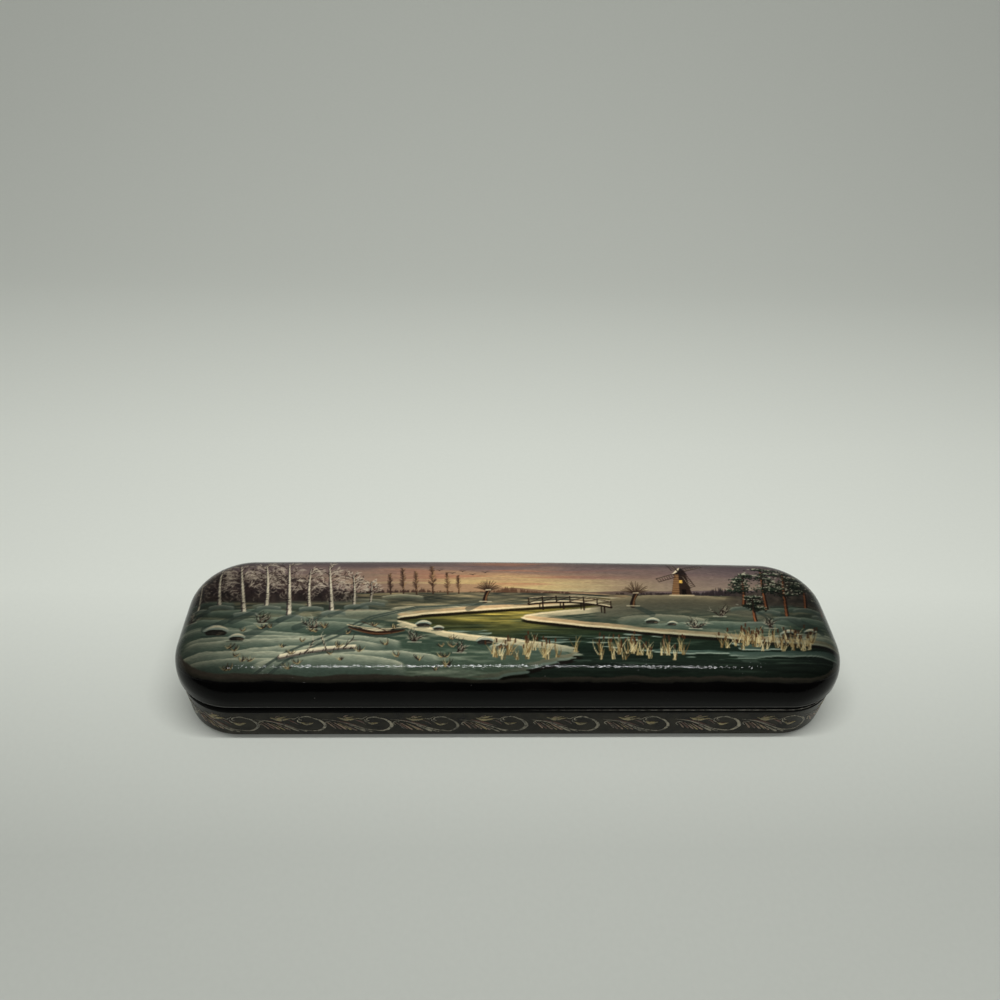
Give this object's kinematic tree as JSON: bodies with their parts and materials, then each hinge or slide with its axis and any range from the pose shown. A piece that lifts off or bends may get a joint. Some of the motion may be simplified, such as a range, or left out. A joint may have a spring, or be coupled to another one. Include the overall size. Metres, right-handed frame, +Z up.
{
  "type": "lacquer box",
  "caption": "Long papier-mache lacquer box with rounded corners: a domed painted lid on brass hinges closes over the lip of a tapered base with a gold scroll.",
  "frame": {"origin": "middle of the flat underside that the box stands on", "axes": "+X along the box's length, to the right seen from the front; +Y to the hinges at the back; +Z up"},
  "size_m": [0.18, 0.0493, 0.0255],
  "materials": {
    "painted_lacquer": "gloss",
    "black_lacquer": "gloss",
    "brown_lacquer": "gloss",
    "red_lacquer": "gloss",
    "hinge_brass": "satin"
  },
  "bodies": {
    "base": {"base_wall": "brown_lacquer", "base_floor": "red_lacquer", "base_liner": "red_lacquer", "left_hinge_base_leaf": "hinge_brass", "right_hinge_base_leaf": "hinge_brass", "left_hinge_pin": "hinge_brass", "right_hinge_pin": "hinge_brass", "base_rivets": "hinge_brass"},
    "lid": {"lid_rim": "black_lacquer", "lid_shell": "painted_lacquer", "left_hinge_lid_leaf": "hinge_brass", "right_hinge_lid_leaf": "hinge_brass", "lid_rivets": "hinge_brass"}
  },
  "joints": [
    {"name": "lid_hinge", "type": "hinge", "parent": "base", "child": "lid", "pos_m": [0, 0.0236, 0.0135], "axis": [-1, 0, 0], "range_deg": [0, 110]}
  ]
}
